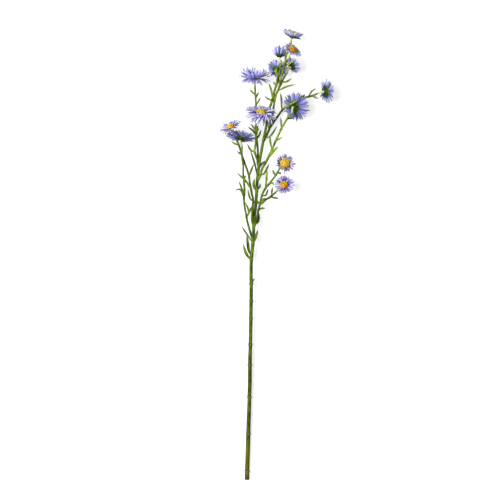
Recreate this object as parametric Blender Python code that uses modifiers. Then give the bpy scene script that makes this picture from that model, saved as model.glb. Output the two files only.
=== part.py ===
"""An artificial aster spray, lying on a flat surface.

A jointed main stem carries seven moulded sprigs. Each sprig is one piece with its narrow leaves, and every
stalk ends in a bloom of four pieces: a push-on neck, a calyx, a whorl of rays and a domed disc.

Metres, +Z up. The spray lies along +Y with its cut end towards -Y, and its upper face looks up. The origin is
the bottom centre of the box around it. Routes are written in millimetres from the cut end of the stem.
"""

import math
from collections import namedtuple

import bmesh
import bpy
from mathutils import Matrix, Vector

MM = 0.001
GAP = 0.3  # clearance between two pieces that touch, mm
SPRAY = "aster_spray"

# --- main stem -------------------------------------------------------------------------------------------
STEM_ROUTE = (
    (-1.4, 0, 3.4), (-0.9, 20, 4), (0, 48, 4.9), (0.9, 80, 6), (1.8, 105, 6.8), (2.3, 125, 7.4), (2.9, 147, 8),
    (3.1, 175, 9), (3.8, 204, 10), (4.6, 250, 11.2), (5, 285, 12), (5, 327, 13), (8, 360, 14), (9, 390, 14.8),
    (12, 414, 15.3), (14, 446, 15.8), (16, 468, 16), (21, 498, 16.4), (26, 523, 17), (33, 560, 18),
)
STEM_RADII = (  # height, radius
    (0, 3.4), (60, 3.3), (120, 2.95), (165, 3.05), (205, 2.8), (295, 2.65), (360, 2.5), (460, 2.2), (560, 1.9),
)
STEM_RINGS = (13, 70, 125, 173, 204, 243, 269, 295)  # heights of the ring joints
RING_RISE = 0.5
RING_HALF = 2.2
STEM_STEP = 15

# --- sprigs ----------------------------------------------------------------------------------------------
SPRIG_STEP = 9  # spacing of the cross-sections along a stalk
SIDE_RADIUS = 1.5  # a stalk just under a neck
FORK_RADIUS = 1.75  # a stalk where it leaves its carrier
LEAF_WIDTH = 3.3
LEAF_THICKNESS = 1.0

# --- blooms ----------------------------------------------------------------------------------------------
NECK_RADIUS = 1.65
NECK_FLARE = 2.1  # radius of the neck under the calyx
NECK_STRAIGHT = 1.5  # straight stretch at each end of a neck, square to the face it meets
RAY_THICKNESS = 0.6
RAY_WIDTH = 3.0
RAY_SHARES = (0.0, 0.4, 0.78, 1.0)  # where a ray's cross-sections stand along it
RAY_WIDTHS = (0.85, 1.0, 0.35)
RAY_ROOT = 0.36  # half width of a ray's root, as a share of the pitch
SAG_AT_BASE = 0.45  # share of a hanging ray's sag that it already has at its base
SAG_OF_INNER = 0.3  # share of the sag that the steeper rays take
INNER_RISE = 12  # how much steeper every second ray stands, degrees
CALYX_DEPTH = 3.2
CALYX_EASE = 0.1  # how much flatter than the rays the calyx stands, as a slope
HUB_SHARE = 0.74  # radius of the rays' hub, as a share of the disc's
DISC_RISE = 0.66  # height of the disc's dome, as a share of its radius
TURN_STEPS = 11
SMOOTH_ANGLE = math.radians(50)  # an edge sharper than this stays sharp when a round piece is shaded

Stalk = namedtuple("Stalk", "route base tip", defaults=(FORK_RADIUS, SIDE_RADIUS))
Leaf = namedtuple("Leaf", "route lift width", defaults=(4, LEAF_WIDTH))
Bloom = namedtuple(
    "Bloom", "centre facing stalk disc calyx rays length low high turn inner sag", defaults=(0, INNER_RISE, 0),
)

STEM_LEAVES = (
    Leaf(((8, 295), (10, 303)), 2, 2.8),
    Leaf(((6, 356), (-2, 370), (-10, 382)), -7),
    Leaf(((9, 354), (12, 366), (15, 376)), 8),
    Leaf(((10, 384), (15, 388), (17, 401)), -5),
    Leaf(((3, 330), (-2, 340), (-7, 355)), 5),
    Leaf(((4, 337), (1, 346), (-2, 369)), -5),
    Leaf(((12, 434), (9, 442), (10, 453)), 6, 4.8),
    Leaf(((14, 435), (18, 441), (18, 446)), -3),
    Leaf(((16, 466), (20, 474), (27, 480)), -6),
    Leaf(((12, 453), (11, 472), (3, 498)), -5),
    Leaf(((26, 512), (34, 517), (44, 532)), 7),
)

SPRIGS = {
    "sprig_left_outer": (
        (
            Stalk((
                (5, 368, 15), (0, 385, 15.5), (-3, 400, 16.5), (-5, 412, 17), (-6, 423, 18), (-5, 435, 19),
                (-7, 460, 21), (-7, 472, 22), (-9, 487, 24.5), (-9, 500, 27),
            )),
        ),
        (
            Leaf(((-9, 488), (-16, 494)), 4),
            Leaf(((-5, 444), (-5, 454), (-2, 458)), 6),
            Leaf(((-6, 428), (-10, 440), (-14, 450)), 3),
            Leaf(((-6, 423), (-11, 436), (-20, 435)), -4),
            Leaf(((-2, 394), (1, 404), (-4, 418)), 7),
            Leaf(((-2, 394), (2, 402), (7, 413)), -7),
        ),
    ),
    "sprig_left_inner": (
        (
            Stalk((
                (6, 391, 18), (7, 408, 19.5), (8, 420, 19.5), (6, 430, 19.5), (3, 446, 19), (1, 459, 18.5),
                (-5, 477, 17.5), (-9, 488, 15.5), (-11, 495, 12), (-14, 504, 6), (-17, 511, 3.2),
                (-21, 519, 4), (-25, 526.5, 8.5), (-27.5, 531, 15), (-28, 532.5, 21),
            )),
        ),
        (
            Leaf(((-14, 503), (-21, 506), (-25, 509)), 1),
            Leaf(((2, 455), (5, 465), (9, 475)), 5),
            Leaf(((5, 436), (-3, 449), (-17, 462)), 9, 3.9),
            Leaf(((8, 418), (3, 424), (0, 437)), 7),
        ),
    ),
    "sprig_right_low": (
        (
            Stalk((
                (12, 387, 17), (14, 396, 17.5), (16, 406, 19), (18, 414, 20), (21, 427, 21), (24, 434, 21.5),
                (28, 440, 21.5), (32, 445, 21), (36, 450, 20.5), (42, 458, 19.5), (45, 463, 20),
                (48, 468.5, 22.5),
            )),
            Stalk((
                (18, 414, 20), (22, 416.5, 20.5), (27, 421.5, 20), (32, 424, 19.5), (38, 429, 18.5),
                (45, 435, 19),
            ), 1.65),
        ),
        (
            Leaf(((26, 437), (28, 450), (29, 468)), 8, 3.7),
            Leaf(((31, 443), (37, 446), (39, 442)), 5),
            Leaf(((22, 427), (27, 428), (31, 438)), -7),
            Leaf(((36, 427), (36, 435), (37, 440)), 4),
            Leaf(((34, 425), (40, 424), (46, 423)), -4),
            Leaf(((19, 416), (23, 420), (26, 424)), 7, 4.5),
            Leaf(((16, 406), (21, 408), (26, 408)), 0),
            Leaf(((42, 458), (39, 461), (37, 466)), 5),
            Leaf(((45, 462), (48, 461), (50, 461)), -5),
            Leaf(((18, 413), (15, 418), (14, 422)), 5),
        ),
    ),
    "sprig_right_high": (
        (
            Stalk((
                (18.5, 457, 17), (20.5, 465, 18.5), (22.5, 470, 19), (28, 479, 20), (32, 488, 21),
                (36, 496, 22), (43, 512, 25), (50, 527, 28), (54, 534, 29.5), (60, 544, 32),
                (65, 550.5, 33),
            ), 1.95),
        ),
        (
            Leaf(((50, 527), (50, 537), (49, 544)), 3),
            Leaf(((42, 509), (52, 515)), 5),
            Leaf(((36, 496), (34, 507), (33, 518)), -7),
            Leaf(((29, 482), (39, 494), (46, 501)), 8, 4.6),
            Leaf(((19, 458), (25, 461), (32, 475)), -6),
            Leaf(((59, 542), (69, 544)), -6),
        ),
    ),
    "sprig_upper_left": (
        (
            Stalk((
                (14.5, 478, 13.4), (15, 485, 12.8), (15, 494, 12.5), (14, 506, 12), (12, 522, 11.5),
                (12, 540, 12), (12, 562, 15), (11.3, 578, 18.5), (10.6, 590.5, 21.5),
            )),
            Stalk((
                (14.7, 481, 13.1), (13, 484, 15.5), (11, 490, 18.5), (10, 495, 20), (12, 507, 22),
                (13, 520, 24), (14, 529, 26), (15, 534.5, 27.5),
            ), 1.65),
        ),
        (
            Leaf(((10, 578), (6, 583), (3, 587)), 4),
            Leaf(((11, 573), (16, 583)), 4),
            Leaf(((12, 562), (19, 575)), 5),
            Leaf(((12, 538), (6, 545)), 2),
            Leaf(((13, 522), (8, 530), (4, 535)), 3),
            Leaf(((12.5, 517), (8, 524.5), (0, 530.5)), 7),
            Leaf(((12, 511), (17, 518), (20, 526)), -4),
            Leaf(((13, 524), (11, 533)), 6),
            Leaf(((13, 524), (17, 528)), 2),
            Leaf(((10, 492), (4, 496), (-1, 505)), 4),
        ),
    ),
    "sprig_upper_right": (
        (
            Stalk((
                (27.5, 515.5, 15.4), (30, 522, 14.7), (33.5, 529.5, 13), (40, 539.5, 10.5), (46, 548, 8.5),
                (51.5, 555.5, 7.5), (61.5, 564, 6.5), (73.5, 571, 7), (84.5, 574.5, 10), (95.5, 577, 14.5),
                (104.5, 580.5, 19),
            )),
            Stalk((
                (34.8, 531.5, 12.2), (36, 538, 14.5), (37, 548, 16.5), (38, 556, 18), (39.5, 566, 20.5),
                (42, 578, 24), (45, 585, 27), (47, 591, 30), (49, 599, 33), (51, 608, 35), (54, 620, 36.5),
                (56, 630, 35.5), (57.5, 639, 33.5), (61, 646, 31), (63, 651, 29), (64, 654.5, 27.5),
            ), 1.85),
            Stalk(((53, 616, 36.3), (54.3, 620.5, 38), (57, 626, 40), (59.5, 630.5, 41)), 1.65),
            Stalk(((45.5, 587, 28), (48, 591, 27), (52, 599, 26), (54, 604, 25.8), (57, 609, 25.5)), 1.55),
        ),
        (
            Leaf(((51, 555), (50.5, 570), (49, 582)), 0),
            Leaf(((51, 555), (54, 559, 24), (77, 571)), 29, 2.8),
            Leaf(((91, 576), (96, 584), (103, 589)), 5),
            Leaf(((96, 577), (106, 573)), 4),
            Leaf(((80, 573), (86, 580)), 6),
            Leaf(((31, 525), (31.5, 532), (31.5, 538)), 7),
            Leaf(((54, 619), (62, 625), (69, 630)), 3),
            Leaf(((48, 596), (58, 598), (67, 603)), 4),
            Leaf(((44.5, 584), (57, 590), (72, 594)), 5),
        ),
    ),
    "sprig_top": (
        (
            Stalk((
                (33.3, 560.8, 18.1), (36.4, 570, 20), (38.4, 578, 22.5), (40, 585, 25), (43, 594, 27.5),
                (44, 601, 29), (46, 607, 30), (48, 614, 30.5), (49, 620, 30), (49, 625, 29),
            ), 2),
            Stalk(((43, 594, 27.5), (46, 600, 26.5), (45.5, 606.5, 22.5)), 1.55),
        ),
        (
            Leaf(((45, 603.5), (43, 611), (42.3, 619)), 4, 3.7),
            Leaf(((36, 572), (35, 585), (31, 596)), 5, 3.7),
            Leaf(((35, 570), (30, 573), (25, 577)), 4),
            Leaf(((42, 592), (40, 595), (38, 598)), 4),
        ),
    ),
}

# centre, facing, its stalk, radii of the disc and calyx, count and length of the rays, their rise at the base
# and tip, turn of the whorl, how much steeper its inner rays stand, and how far the lowest rays hang
BLOOMS = (
    Bloom((67, 667.4, 24), (0.33, 0.91, 0.19), ("sprig_upper_right", 1), 7.6, 10.4, 18, 14, 2, 32, 0, 14, -58),
    Bloom((66.8, 645, 46), (0.5, 0.65, 0.5), ("sprig_upper_right", 2), 6.1, 7.6, 16, 11.5, 4, -10, 0, 8, -24),
    Bloom((47.4, 638, 25), (0.12, 0.93, -0.35), ("sprig_top", 0), 6.1, 7.4, 12, 16, 34, 80, 0, 10, 0),
    Bloom((43.5, 617, 16.5), (0.3, 0.55, -0.78), ("sprig_top", 1), 6.1, 7.8, 16, 14.2, 14, 32, 0, 12, 0),
    Bloom((66.2, 621.6, 22.4), (0.62, 0.45, -0.64), ("sprig_upper_right", 3), 6.1, 7.5, 14, 10.5, 20, 42, 0, 12, 0),
    Bloom((9.8, 603.6, 25), (0, 0.99, 0.09), ("sprig_upper_left", 0), 5.6, 7.6, 18, 23, 12, 32, 0, 26, 68),
    Bloom((19.3, 551.4, 42), (0.26, 0.8, 0.54), ("sprig_upper_left", 1), 7.6, 9.5, 18, 19.5, -6, -26, -8, 24, 40),
    Bloom((69.7, 560.3, 26), (0.47, 0.22, -0.85), ("sprig_right_high", 0), 7.6, 10.4, 18, 19.2, 14, 28, 9, 12, 0),
    Bloom((117.3, 583.5, 18.4), (0.85, 0.1, -0.5), ("sprig_upper_right", 0), 7, 10.2, 16, 15, 10, 8, 0, 12, 0),
    Bloom((-26.3, 529.8, 42.5), (-0.42, 0.8, 0.42), ("sprig_left_inner", 0), 6.1, 7.2, 14, 13.5, 8, 2, 12, 12, 12),
    Bloom((-10.9, 513.3, 27), (0.18, 0.9, -0.4), ("sprig_left_outer", 0), 7.6, 9.4, 18, 16.8, 10, 6, 12, 6, -18),
    Bloom((55.8, 475.4, 34), (0.12, 0.28, 0.95), ("sprig_right_low", 0), 8.2, 8.4, 16, 11.5, 34, 56, 0, 10, 46),
    Bloom((54.5, 442.9, 30), (-0.08, 0.42, 0.9), ("sprig_right_low", 1), 6.4, 7.4, 16, 11.6, 12, 14, 0, 12, 14),
)


def linear(hex_colour):
    """The linear RGBA of an sRGB hex colour."""
    channels = [int(hex_colour[i : i + 2], 16) / 255 for i in (0, 2, 4)]
    return [c / 12.92 if c <= 0.04045 else ((c + 0.055) / 1.055) ** 2.4 for c in channels] + [1.0]


def plastic(name, hex_colour, roughness):
    material = bpy.data.materials.new(name)
    material.use_nodes = True
    shader = material.node_tree.nodes["Principled BSDF"]
    shader.inputs["Base Color"].default_value = linear(hex_colour)
    shader.inputs["Roughness"].default_value = roughness
    shader.inputs["Metallic"].default_value = 0.0
    return material


def new_collection(name):
    collection = bpy.data.collections.new(name)
    bpy.context.scene.collection.children.link(collection)
    return collection


def add_object(name, data, collection, material=None, parent=None):
    thing = bpy.data.objects.new(name, data)
    collection.objects.link(thing)
    if material:
        data.materials.append(material)
    thing.parent = parent
    return thing


def smooth_route(points, step):
    """Points about one step apart on the Catmull-Rom curve through the given ones, all in mm."""
    points = [Vector(p) for p in points]
    ends = [2 * points[0] - points[1]] + points + [2 * points[-1] - points[-2]]
    route = []
    for a, b, c, d in zip(ends, ends[1:], ends[2:], ends[3:]):
        pieces = max(1, round((c - b).length / step))
        for i in range(pieces):
            t = i / pieces
            route.append(0.5 * (
                2 * b + (c - a) * t + (2 * a - 5 * b + 4 * c - d) * t ** 2
                + (3 * b - 3 * c + d - a) * t ** 3
            ))
    return route + [points[-1]]


def nearest(route, point, plan_only=False):
    """The point of a polyline nearest to the given one, measured in plan where that is asked."""
    point = Vector(point)
    best, best_distance = None, math.inf
    for a, b in zip(route, route[1:]):
        along, offset = b - a, point - a
        if plan_only:
            along, offset = along.xy, offset.xy
        t = min(1.0, max(0.0, offset.dot(along) / along.length_squared))
        distance = (offset - along * t).length
        if distance < best_distance:
            best, best_distance = a.lerp(b, t), distance
    return best


def ramp(table, value):
    """The value read off a table of (place, amount) pairs, straight between its rows."""
    for (x0, y0), (x1, y1) in zip(table, table[1:]):
        if value <= x1:
            return y0 + (y1 - y0) * max(0.0, (value - x0) / (x1 - x0))
    return table[-1][1]


def shade_round(mesh):
    """Shades a round piece smooth, apart from its sharp edges."""
    mesh.shade_smooth()
    mesh.set_sharp_from_angle(angle=SMOOTH_ANGLE)


def sweep(name, route, radii, sides=8, profile=None, twist="MINIMUM"):
    """A closed mesh swept along the route: round, with one radius for each point, or of a profile they scale."""
    curve = bpy.data.curves.new(name, "CURVE")
    curve.dimensions = "3D"
    curve.twist_mode = twist
    curve.use_fill_caps = True
    if profile:
        curve.bevel_mode = "OBJECT"
        curve.bevel_object = profile
    else:
        curve.bevel_depth = MM
        curve.bevel_resolution = sides // 2 - 2
    spline = curve.splines.new("POLY")
    spline.points.add(len(route) - 1)
    for knot, place, radius in zip(spline.points, route, radii):
        knot.co = (*(place * MM), 1.0)
        knot.radius = radius
    guide = bpy.data.objects.new(name + "_guide", curve)
    bpy.context.scene.collection.objects.link(guide)
    graph = bpy.context.evaluated_depsgraph_get()
    mesh = bpy.data.meshes.new_from_object(guide.evaluated_get(graph))
    bpy.data.objects.remove(guide)
    bm = bmesh.new()
    bm.from_mesh(mesh)
    bmesh.ops.remove_doubles(bm, verts=bm.verts, dist=1e-6)
    bmesh.ops.recalc_face_normals(bm, faces=bm.faces)
    bm.to_mesh(mesh)
    bm.free()
    mesh.name = name
    mesh.materials.clear()
    shade_round(mesh)
    return mesh


def leaf_profile(collection):
    """The lens-shaped cross-section of a leaf, one LEAF_WIDTH wide."""
    curve = bpy.data.curves.new("leaf_profile", "CURVE")
    curve.dimensions = "2D"
    spline = curve.splines.new("POLY")
    corners = ((-LEAF_WIDTH / 2, 0), (0, -LEAF_THICKNESS / 2), (LEAF_WIDTH / 2, 0), (0, LEAF_THICKNESS / 2))
    spline.points.add(len(corners) - 1)
    for knot, (x, y) in zip(spline.points, corners):
        knot.co = (x * MM, y * MM, 0.0, 1.0)
    spline.use_cyclic_u = True
    profile = add_object("leaf_profile", curve, collection)
    profile.hide_render = True
    profile.display_type = "WIRE"
    return profile


def leaf_mesh(name, leaf, carriers, profile):
    """A narrow lance-shaped leaf that starts inside the stalk nearest to its base."""
    base = min(
        (nearest(route, (*leaf.route[0], 0), plan_only=True) for route in carriers),
        key=lambda p: (p.xy - Vector(leaf.route[0])).length,
    )
    last = len(leaf.route) - 1
    places = [base]
    for i, (x, y, *lift) in enumerate(leaf.route[1:], 1):
        places.append(Vector((x, y, base.z + (lift[0] if lift else leaf.lift * i / last))))
    length = sum((b - a).length for a, b in zip(places, places[1:]))
    route = smooth_route(places, max(2.5, length / 5))
    count = len(route) - 1
    outline = ((0, 0.45), (0.25, 0.75), (0.55, 1.0), (0.8, 0.8), (1, 0.16))
    radii = [ramp(outline, i / count) * leaf.width / LEAF_WIDTH for i in range(count + 1)]
    return sweep(name, route, radii, profile=profile, twist="Z_UP")


def join(target, helpers):
    """Makes one solid of the target and the helper objects' collection."""
    union = target.modifiers.new("join", "BOOLEAN")
    union.operation = "UNION"
    union.operand_type = "COLLECTION"
    union.collection = helpers
    union.solver = "EXACT"


def seated(point, carrier, distance):
    """The point moved straight away from, or towards, the carrier's centreline until it is that far off."""
    foot = nearest(carrier, point)
    return foot + (Vector(point) - foot).normalized() * distance


def stem_radius(height):
    """The radius of the main stem, which swells at its ring joints."""
    radius = ramp(STEM_RADII, height)
    if any(abs(height - ring) < RING_HALF / 2 for ring in STEM_RINGS):
        radius += RING_RISE
    return radius


def stem_route():
    """The main stem's centreline, with the extra points that its ring joints need."""
    coarse = smooth_route(STEM_ROUTE, STEM_STEP)
    rings = [
        nearest(coarse, (0, ring + side, ramp([(p.y, p.z) for p in coarse], ring)))
        for ring in STEM_RINGS for side in (-RING_HALF, -RING_HALF / 3, RING_HALF / 3, RING_HALF)
    ]
    spaced = [p for p in coarse if all(abs(p.y - ring) > RING_HALF * 2 for ring in STEM_RINGS)]
    return sorted(spaced + rings, key=lambda p: p.y)


def make_branching(name, stalk_meshes, leaves, carriers, profile, where, material):
    """One solid of a first stalk, its side stalks and its leaves."""
    parts, tools, parent = where
    helpers = bpy.data.collections.new(name + "_joined")
    tools.children.link(helpers)
    body = add_object(name, stalk_meshes[0], parts, material, parent)
    extras = stalk_meshes[1:] + [
        leaf_mesh(f"{name}_leaf_{i}", leaf, carriers, profile) for i, leaf in enumerate(leaves, 1)
    ]
    for mesh in extras:
        helper = add_object(mesh.name, mesh, helpers, material, parent)
        helper.hide_render = True
        helper.display_type = "WIRE"
    join(body, helpers)


def make_main_stem(profile, where, material):
    route = stem_route()
    mesh = sweep("main_stem", route, [stem_radius(p.y) for p in route], sides=10)
    make_branching("main_stem", [mesh], STEM_LEAVES, [route], profile, where, material)
    return route


def make_sprig(name, stem, profile, where, material):
    """One sprig, and where each of its stalks ends and in which direction."""
    stalks, leaves = SPRIGS[name]
    routes, meshes = [], []
    for i, stalk in enumerate(stalks):
        points = list(stalk.route)
        on_the_side = i == 0 and points[0][1] < stem[-1].y
        if on_the_side:
            radius = ramp(STEM_RADII, points[0][1])
            points[0] = seated(points[0], stem, radius + stalk.base + GAP)
        route = smooth_route(points, SPRIG_STEP)
        count = len(route) - 1
        radii = [stalk.base + (stalk.tip - stalk.base) * k / count for k in range(count + 1)]
        routes.append(route)
        meshes.append(sweep(f"{name}_stalk_{i}", route, radii, sides=6))
    make_branching(name, meshes, leaves, routes, profile, where, material)
    return {(name, i): (route[-1], (route[-1] - route[-2]).normalized()) for i, route in enumerate(routes)}


def turned(name, outline, collection, material):
    """A solid of revolution about its own Z. The outline runs down its outer side, axis to axis, in mm."""
    mesh = bpy.data.meshes.new(name)
    mesh.from_pydata([(r * MM, 0, z * MM) for r, z in outline], [(i, i + 1) for i in range(len(outline) - 1)], [])
    thing = add_object(name, mesh, collection, material)
    screw = thing.modifiers.new("turn", "SCREW")
    screw.axis = "Z"
    screw.steps = screw.render_steps = TURN_STEPS
    screw.use_merge_vertices = True
    screw.merge_threshold = 1e-5
    screw.use_smooth_shade = True
    return thing


def ray_stations(bloom, raised, hang=0):
    """Distance from the axis, height and half width at each cross-section of a ray, in mm."""
    hub = bloom.disc * HUB_SHARE
    low = math.radians(bloom.low + raised - hang * SAG_AT_BASE)
    high = math.radians(bloom.high + raised - hang)
    radius, height, stations = hub, 0.0, []
    for start, end, width in zip(RAY_SHARES, RAY_SHARES[1:], RAY_WIDTHS):
        slope = low + (high - low) * (start + end) / 2
        radius += math.cos(slope) * bloom.length * (end - start)
        height += math.sin(slope) * bloom.length * (end - start)
        stations.append((radius, height, width * RAY_WIDTH / 2))
    return stations


def rays_mesh(name, bloom):
    """A flat hub with the rays drawn out of its rim. Every second ray stands steeper, and the lowest ones hang."""
    hub = bloom.disc * HUB_SHARE * MM
    up = bloom_frame(bloom).to_3x3().inverted() @ Vector((0, 1, 0))
    up_bearing = math.atan2(up.y, up.x)
    bm = bmesh.new()
    rim = bmesh.ops.create_circle(bm, cap_ends=True, segments=2 * bloom.rays, radius=hub)["verts"]
    pitch = math.tau / bloom.rays
    for i, vert in enumerate(rim):
        angle = pitch * (i // 2 + (RAY_ROOT if i % 2 else -RAY_ROOT)) + math.radians(bloom.turn)
        vert.co = (hub * math.cos(angle), hub * math.sin(angle), 0.0)
    for k in range(bloom.rays):
        angle = pitch * k + math.radians(bloom.turn)
        out, across = Vector((math.cos(angle), math.sin(angle), 0)), Vector((-math.sin(angle), math.cos(angle), 0))
        edge = bm.edges.get((rim[2 * k], rim[2 * k + 1]))
        hang = bloom.sag * ((1 - math.cos(angle - up_bearing)) / 2) ** 1.5
        raised, share = (bloom.inner, SAG_OF_INNER) if k % 2 else (0, 1)
        for radius, height, half in ray_stations(bloom, raised, hang * share):
            drawn = bmesh.ops.extrude_edge_only(bm, edges=[edge])["geom"]
            edge = next(g for g in drawn if isinstance(g, bmesh.types.BMEdge) and g.is_boundary
                        and all(v in drawn for v in g.verts))
            for vert in edge.verts:
                side = 1 if vert.co.dot(across) > 0 else -1
                vert.co = (out * radius + across * side * half + Vector((0, 0, height))) * MM
    bmesh.ops.recalc_face_normals(bm, faces=bm.faces)
    mesh = bpy.data.meshes.new(name)
    bm.to_mesh(mesh)
    bm.free()
    return mesh


def bloom_frame(bloom):
    """The bloom's own axes in the spray: Z out of its face, and the origin at the top of the hub."""
    facing = Vector(bloom.facing).normalized()
    turn = facing.to_track_quat("Z", "Y").to_matrix().to_4x4()
    return Matrix.Translation(Vector(bloom.centre) * MM) @ turn


def make_bloom(name, bloom, ends, where, colours):
    parts, _, parent = where
    frame = bloom_frame(bloom)
    facing = frame.to_3x3() @ Vector((0, 0, 1))
    hub = bloom.disc * HUB_SHARE

    rays = add_object(name + "_rays", rays_mesh(name + "_rays", bloom), parts, colours["rays"])
    shell = rays.modifiers.new("sheet", "SOLIDIFY")
    shell.thickness = RAY_THICKNESS * MM
    shell.offset = -1 if rays.data.polygons[0].normal.z > 0 else 1

    rim = bloom.disc
    reach, climb, _ = ray_stations(bloom, bloom.inner, min(0, bloom.sag) * SAG_OF_INNER)[0]
    rest = GAP * 1.5 + max(0, climb) * (rim - hub) / (reach - hub)
    dome = [
        (rim * math.cos(a), rest + rim * DISC_RISE * math.sin(a))
        for a in (math.radians(d) for d in (90, 62, 34, 0))
    ]
    disc = turned(name + "_disc", dome + [(hub * 0.95, GAP), (0, GAP)], parts, colours["disc"])

    under = -RAY_THICKNESS - GAP
    outer_reach, outer_climb, _ = ray_stations(bloom, 0, max(0, bloom.sag))[0]
    rise = (bloom.calyx - hub) * (outer_climb / (outer_reach - hub) - CALYX_EASE)
    calyx = turned(
        name + "_calyx",
        [
            (0, under), (hub, under), (bloom.calyx, under + rise), (bloom.calyx, under + rise - 0.7),
            (bloom.calyx * 0.6, under - CALYX_DEPTH * 0.45), (NECK_FLARE, under - CALYX_DEPTH),
            (0, under - CALYX_DEPTH),
        ],
        parts, colours["calyx"],
    )
    for piece in (rays, disc, calyx):
        piece.matrix_local = frame
        piece.parent = parent

    stalk_end, along = ends[bloom.stalk]
    start = stalk_end + along * GAP
    top = Vector(bloom.centre) + facing * (under - CALYX_DEPTH - GAP)
    inner = [start + along * NECK_STRAIGHT, top - facing * NECK_STRAIGHT]
    bulge = (inner[1] - inner[0]).length * 0.35
    middle = (inner[0] + along * bulge + inner[1] - facing * bulge) / 2
    route = [start] + smooth_route([inner[0], middle, inner[1]], 5) + [top]
    count = len(route) - 1
    radii = [NECK_RADIUS + (NECK_FLARE - NECK_RADIUS) * (k / count) ** 4 for k in range(count + 1)]
    add_object(name + "_neck", sweep(name + "_neck", route, radii), parts, colours["neck"], parent)


def centre_on_origin(parts, parent):
    """Moves the whole spray so that the bottom centre of its box is the origin."""
    bpy.context.view_layer.update()
    graph = bpy.context.evaluated_depsgraph_get()
    corners = []
    for piece in parts.objects:
        if piece.type != "MESH":
            continue
        solid = piece.evaluated_get(graph)
        corners += [solid.matrix_world @ vert.co for vert in solid.data.vertices]
    low = Vector(min(c[i] for c in corners) for i in range(3))
    high = Vector(max(c[i] for c in corners) for i in range(3))
    parent.location = (-(low.x + high.x) / 2, -(low.y + high.y) / 2, -low.z)
    bpy.context.view_layer.update()


def main():
    for thing in list(bpy.data.objects):
        bpy.data.objects.remove(thing)
    parts, tools = new_collection(SPRAY), new_collection(SPRAY + "_tools")
    parent = bpy.data.objects.new(SPRAY + "_frame", None)
    parts.objects.link(parent)
    where = (parts, tools, parent)
    green = plastic("stem_green_plastic", "5f7f24", 0.5)
    sprig_green = plastic("sprig_green_plastic", "7a9a34", 0.5)
    colours = {
        "rays": plastic("lavender_cloth", "8b84cf", 0.75),
        "disc": plastic("yellow_flock", "e9ae1f", 0.85),
        "calyx": plastic("calyx_green_plastic", "3f5420", 0.55),
        "neck": plastic("neck_pale_plastic", "d9e4ae", 0.4),
    }
    profile = leaf_profile(tools)
    stem = make_main_stem(profile, where, green)
    ends = {}
    for name in SPRIGS:
        ends.update(make_sprig(name, stem, profile, where, sprig_green))
    for number, bloom in enumerate(BLOOMS, 1):
        make_bloom(f"bloom_{number:02d}", bloom, ends, where, colours)
    centre_on_origin(parts, parent)


main()
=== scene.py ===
"""The looks of the artificial aster spray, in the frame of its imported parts.

Every piece is built in millimetres from the middle of the stem's cut end, with the tip towards +Y and the
upper face towards +Z. The pieces are the jointed stem, seven moulded sprigs, and for each bloom a push-on
tube, a calyx of sepals, layers of cut petals and a dome of florets.
"""

import random
from collections import namedtuple
from functools import partial
from math import acos, atan2, cos, exp, inf, pi, radians, sin, sqrt, tan, tau

import bmesh
import bpy
from mathutils import Matrix, Quaternion, Vector


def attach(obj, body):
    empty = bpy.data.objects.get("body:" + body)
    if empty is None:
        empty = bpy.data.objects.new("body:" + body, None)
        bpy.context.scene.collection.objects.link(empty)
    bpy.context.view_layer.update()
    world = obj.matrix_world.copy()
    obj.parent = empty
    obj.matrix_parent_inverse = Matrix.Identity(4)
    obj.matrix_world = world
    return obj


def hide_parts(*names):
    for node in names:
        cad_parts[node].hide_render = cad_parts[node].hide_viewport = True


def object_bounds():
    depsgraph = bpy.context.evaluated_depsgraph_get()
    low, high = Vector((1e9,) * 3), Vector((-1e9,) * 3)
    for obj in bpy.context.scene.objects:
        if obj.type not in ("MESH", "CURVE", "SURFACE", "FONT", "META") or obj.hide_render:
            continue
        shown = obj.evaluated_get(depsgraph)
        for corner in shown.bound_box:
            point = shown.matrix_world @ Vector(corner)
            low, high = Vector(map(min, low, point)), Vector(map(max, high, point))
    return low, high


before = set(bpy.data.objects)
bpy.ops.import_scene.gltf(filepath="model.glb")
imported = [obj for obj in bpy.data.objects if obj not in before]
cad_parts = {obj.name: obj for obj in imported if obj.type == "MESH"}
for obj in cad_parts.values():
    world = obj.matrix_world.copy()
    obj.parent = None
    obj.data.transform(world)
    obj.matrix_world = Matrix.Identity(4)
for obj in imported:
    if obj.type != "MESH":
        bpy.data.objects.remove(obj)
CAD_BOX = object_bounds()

MM = 0.001
RIGHT, TIPWARD, UP = Vector((1, 0, 0)), Vector((0, 1, 0)), Vector((0, 0, 1))
SMOOTH_ANGLE = radians(48)  # an edge sharper than this is shaded sharp
GAP = 0.3  # clearance between two pieces that touch, mm

# --- light, floor and camera ---
KEY = 3.45
KEY_SPREAD = 40.0  # degrees of sky that the key light fills
KEY_FROM = (-0.5, 0.1, 0.86)
FILL = 0.1
FLOOR_GLOW = 0.74  # what the floor adds to its own white for the eye
FLOOR_SIZE = 12.0  # m
FLOOR_DROP = 0.0002  # m below the spray
CAMERA_HEIGHT = 9.0  # m above the spray
VIEW_WIDTH = 0.747  # m across the frame at the spray's top
VIEW_OFFSET = (-40.8, 5.3)  # mm from the middle of the spray to the middle of the frame
SENSOR = 36.0  # mm
CAMERA_REACH = 50.0  # m

# --- the routes and places that the imported parts were made from, mm ---
# A stalk has its route and its radius at base and tip. A leaf has its route in plan, its tip's rise above its
# base, its width, and the painted light that lifts it out of the shade it lies in. A third number in its
# route is that point's rise.
Stalk = namedtuple("Stalk", "route base tip", defaults=(1.75, 1.5))
Leaf = namedtuple("Leaf", "route lift width bright", defaults=(4, 3.3, 0.0))
Bloom = namedtuple(
    "Bloom", "centre facing stalk disc calyx rays length low high turn inner sag", defaults=(0, 12, 0),
)

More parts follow.
